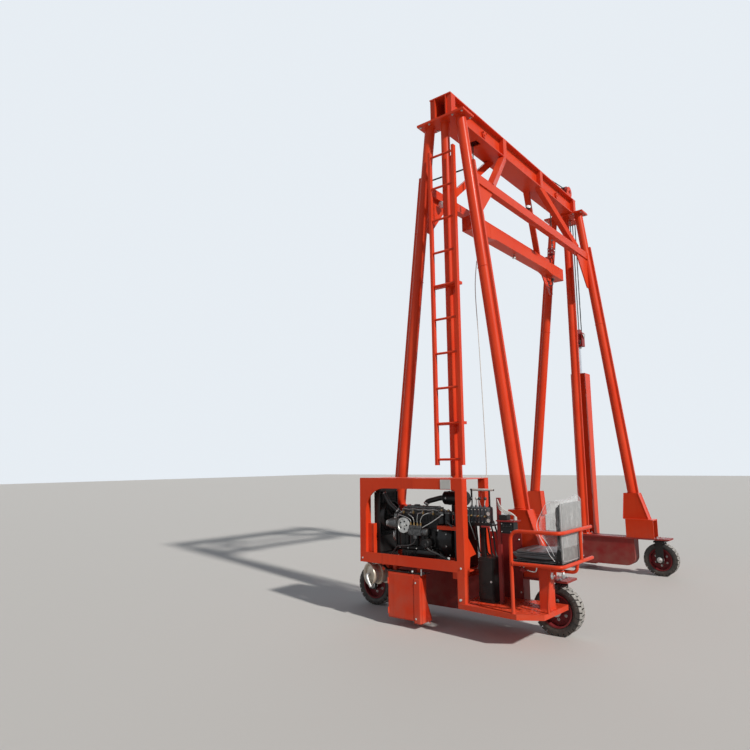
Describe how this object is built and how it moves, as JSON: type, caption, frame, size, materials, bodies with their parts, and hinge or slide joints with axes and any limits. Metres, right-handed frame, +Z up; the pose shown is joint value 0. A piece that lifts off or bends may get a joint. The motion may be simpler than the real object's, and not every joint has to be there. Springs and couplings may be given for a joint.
{
  "type": "straddle carrier",
  "caption": "Self-propelled lifting portal that straddles a load, with a rope-hung lifting beam, an engine side and a cylinder mast.",
  "frame": {"origin": "on the ground, midway between the two side frames and on the line of their centre columns", "axes": "+X along travel towards the operator's seat, +Y across the span away from the engine side, +Z up"},
  "size_m": [2.6859, 4.699, 5.967],
  "materials": {
    "orange_paint": "gloss enamel, sun-faded",
    "dark_red_paint": "gloss enamel",
    "black_paint": "oily semi-gloss",
    "bare_steel": "dull zinc",
    "chrome_rod": "polished",
    "seat_vinyl": "black vinyl",
    "forged_shackle": "forged black",
    "wire_rope": "greased wire rope",
    "tyre_rubber": "solid rubber, dusty tread"
  },
  "bodies": {
    "frame": {"top_beam": "orange_paint", "head_plates": "orange_paint", "sheave_bracket": "orange_paint", "leg_near_front": "orange_paint", "leg_near_rear": "orange_paint", "leg_far_front": "orange_paint", "leg_far_rear": "orange_paint", "column_near": "orange_paint", "column_far": "orange_paint", "ties": "orange_paint", "knee_braces": "orange_paint", "ladder": "orange_paint", "base_beams": "dark_red_paint", "leg_boxes": "orange_paint", "engine_frame": "orange_paint", "engine_block": "black_paint", "radiator": "black_paint", "fluid_tank": "black_paint", "silencer": "bare_steel", "hanging_box": "orange_paint", "console": "black_paint", "inner_panel": "dark_red_paint", "platform": "orange_paint", "seat_pedestal": "orange_paint", "seat_cushion": "seat_vinyl", "seat_back": "seat_vinyl", "guard_rail": "orange_paint", "mast_channel": "orange_paint", "cylinder_barrel": "black_paint", "tie_lamp": "bare_steel", "hoist_ropes": "wire_rope", "beam_ropes": "wire_rope", "mast_ropes": "wire_rope", "rear_forks": "black_paint", "drive_motor": "orange_paint"},
    "lifting_beam": {"lifting_beam": "orange_paint", "rope_sockets": "dark_red_paint", "beam_lamp": "bare_steel"},
    "shackle_near": {"shackle_near": "forged_shackle"},
    "shackle_far": {"shackle_far": "forged_shackle"},
    "lift_rod": {"cylinder_rod": "chrome_rod", "crosshead": "dark_red_paint"},
    "crosshead_sheave": {"crosshead_sheave": "dark_red_paint"},
    "bracket_sheave": {"bracket_sheave": "dark_red_paint"},
    "near_sheave": {"near_sheave": "dark_red_paint"},
    "far_sheave": {"far_sheave": "dark_red_paint"},
    "steering_near": {"fork_near_front": "black_paint"},
    "steering_far": {"fork_far_front": "black_paint"},
    "wheel_near_front": {"tyre_near_front": "tyre_rubber", "rim_near_front": "dark_red_paint"},
    "wheel_near_rear": {"tyre_near_rear": "tyre_rubber", "rim_near_rear": "dark_red_paint"},
    "wheel_far_front": {"tyre_far_front": "tyre_rubber", "rim_far_front": "dark_red_paint"},
    "wheel_far_rear": {"tyre_far_rear": "tyre_rubber", "rim_far_rear": "dark_red_paint"}
  },
  "joints": [
    {"name": "lift", "type": "slide", "parent": "frame", "child": "lifting_beam", "axis": [0, 0, 1], "range_m": [-2.7, 0.6], "deforming": ["hoist_ropes"]},
    {"name": "rod_slide", "type": "slide", "parent": "frame", "child": "lift_rod", "axis": [0, 0, 1], "range_m": [-0.31, 1.36], "deforming": ["mast_ropes"]},
    {"name": "shackle_near_swing", "type": "hinge", "parent": "lifting_beam", "child": "shackle_near", "pos_m": [0, -1.05, 4.227], "axis": [1, 0, 0], "range_deg": [-55, 55]},
    {"name": "shackle_far_swing", "type": "hinge", "parent": "lifting_beam", "child": "shackle_far", "pos_m": [0, 1.05, 4.227], "axis": [1, 0, 0], "range_deg": [-55, 55]},
    {"name": "crosshead_sheave_spin", "type": "hinge", "parent": "lift_rod", "child": "crosshead_sheave", "pos_m": [0, 2.041, 3.52], "axis": [1, 0, 0], "continuous": true},
    {"name": "bracket_sheave_spin", "type": "hinge", "parent": "frame", "child": "bracket_sheave", "pos_m": [0, 1.841, 5.865], "axis": [1, 0, 0], "continuous": true},
    {"name": "near_sheave_spin", "type": "hinge", "parent": "frame", "child": "near_sheave", "pos_m": [0, -1.038, 5.585], "axis": [1, 0, 0], "continuous": true},
    {"name": "far_sheave_spin", "type": "hinge", "parent": "frame", "child": "far_sheave", "pos_m": [0, 1.222, 5.585], "axis": [1, 0, 0], "continuous": true},
    {"name": "steer_near", "type": "hinge", "parent": "frame", "child": "steering_near", "pos_m": [-1.06, -1.8, 0.474], "axis": [0, 0, 1], "range_deg": [-40, 40]},
    {"name": "steer_far", "type": "hinge", "parent": "frame", "child": "steering_far", "pos_m": [-1.06, 1.8, 0.474], "axis": [0, 0, 1], "range_deg": [-40, 40]},
    {"name": "spin_near_front", "type": "hinge", "parent": "steering_near", "child": "wheel_near_front", "pos_m": [-1.06, -1.8, 0.22], "axis": [0, 1, 0], "continuous": true},
    {"name": "spin_near_rear", "type": "hinge", "parent": "frame", "child": "wheel_near_rear", "pos_m": [1.06, -1.8, 0.22], "axis": [0, 1, 0], "continuous": true},
    {"name": "spin_far_front", "type": "hinge", "parent": "steering_far", "child": "wheel_far_front", "pos_m": [-1.06, 1.8, 0.22], "axis": [0, 1, 0], "continuous": true},
    {"name": "spin_far_rear", "type": "hinge", "parent": "frame", "child": "wheel_far_rear", "pos_m": [1.06, 1.8, 0.22], "axis": [0, 1, 0], "continuous": true}
  ],
  "couplings": [
    {"joint": "rod_slide", "follows": "lift", "ratio": -0.5}
  ]
}
